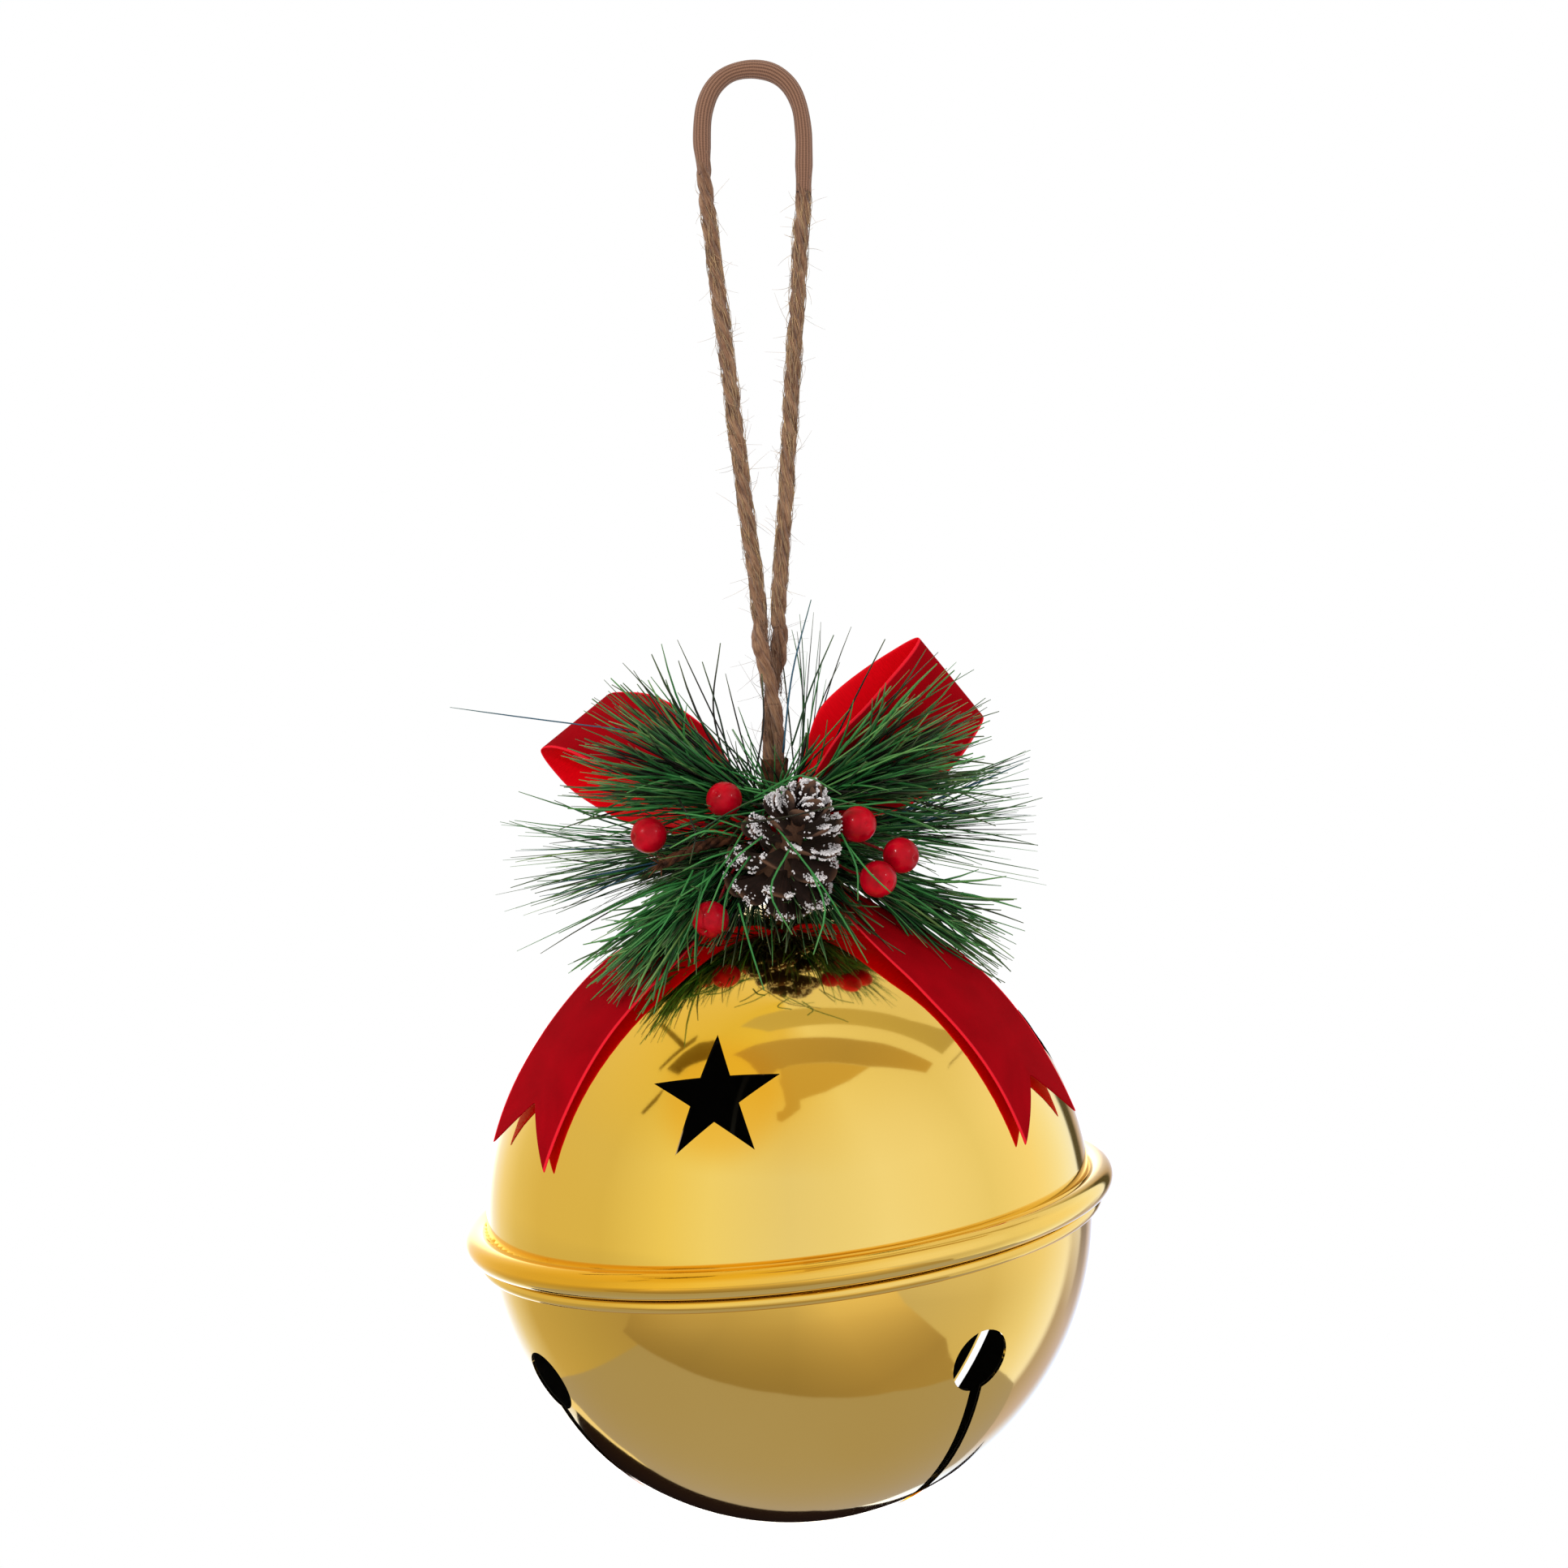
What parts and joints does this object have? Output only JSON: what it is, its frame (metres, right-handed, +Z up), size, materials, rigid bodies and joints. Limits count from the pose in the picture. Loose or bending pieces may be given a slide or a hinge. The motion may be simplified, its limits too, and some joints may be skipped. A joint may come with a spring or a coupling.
{
  "type": "christmas bell ornament",
  "caption": "Ball-shaped two-part jingle bell with star windows and crossing slots, hung by a twine loop and dressed with a bow, pine sprigs, a cone and berries.",
  "frame": {"origin": "hang point: the inside of the twine loop's top, where it rests on a hook", "axes": "+Z up along the hanging twine, +X to the right and -Y towards the front, where the bow and cone are"},
  "size_m": [0.2143, 0.2148, 0.4823],
  "materials": {
    "gold_dome": "polished gold plate on pressed steel, mirror bright",
    "gold_bowl": "polished gold plate on pressed steel, mirror bright",
    "steel_wire": "drawn wire, satin",
    "ball_steel": "tumbled steel ball",
    "jute": "three-strand jute twine, hairy",
    "sleeve_knit": "brown knitted sleeve",
    "floral_tape": "brown stretched paper tape, matte",
    "bind_wire": "green lacquered binding wire",
    "ribbon": "red velvet ribbon, soft nap",
    "cone_wood": "dry pine cone scales, matte, with snow flock on the tips",
    "berry_lacquer": "crimson lacquer, glossy",
    "berry_wire": "red paper-covered wire",
    "pine_needles": "cut green PVC needles, slight gloss"
  },
  "bodies": {
    "hanger": {"twine_loop": "jute", "loop_sleeve": "sleeve_knit"},
    "splice": {"twine_splice": "jute"},
    "bell": {"upper_dome": "gold_dome", "lower_bowl": "gold_bowl", "hanging_eye": "steel_wire", "twine_tail": "jute", "twine_knot": "jute", "stem_wrap": "floral_tape", "bind_wire": "bind_wire", "stem_stub": "floral_tape", "bow_tie": "ribbon", "ribbon_loop_left": "ribbon", "ribbon_loop_right": "ribbon", "ribbon_tail_left": "ribbon", "ribbon_tail_right": "ribbon", "pine_cone": "cone_wood", "cone_wire": "bind_wire", "berry_1": "berry_lacquer", "berry_2": "berry_lacquer", "berry_3": "berry_lacquer", "berry_4": "berry_lacquer", "berry_5": "berry_lacquer", "berry_6": "berry_lacquer", "berry_wires_left": "berry_wire", "berry_wires_right": "berry_wire", "sprig_upper_left": "pine_needles", "sprig_left": "pine_needles", "sprig_lower_left": "pine_needles", "sprig_upper_right": "pine_needles", "sprig_right": "pine_needles", "sprig_lower_right": "pine_needles", "sprig_back_left": "pine_needles", "sprig_back_right": "pine_needles", "sprig_crown": "pine_needles"},
    "ball": {"jingle_ball": "ball_steel"}
  },
  "joints": [
    {"name": "side_swing", "type": "hinge", "parent": "hanger", "child": "splice", "pos_m": [0, 0, -0.19], "axis": [0, 1, 0], "range_deg": [-20, 20]},
    {"name": "front_swing", "type": "hinge", "parent": "splice", "child": "bell", "pos_m": [0, 0, -0.228], "axis": [1, 0, 0], "range_deg": [-15, 15]},
    {"name": "ball_roll", "type": "hinge", "parent": "bell", "child": "ball", "pos_m": [0, 0, -0.376], "axis": [0, 1, 0], "range_deg": [-60, 60]}
  ]
}
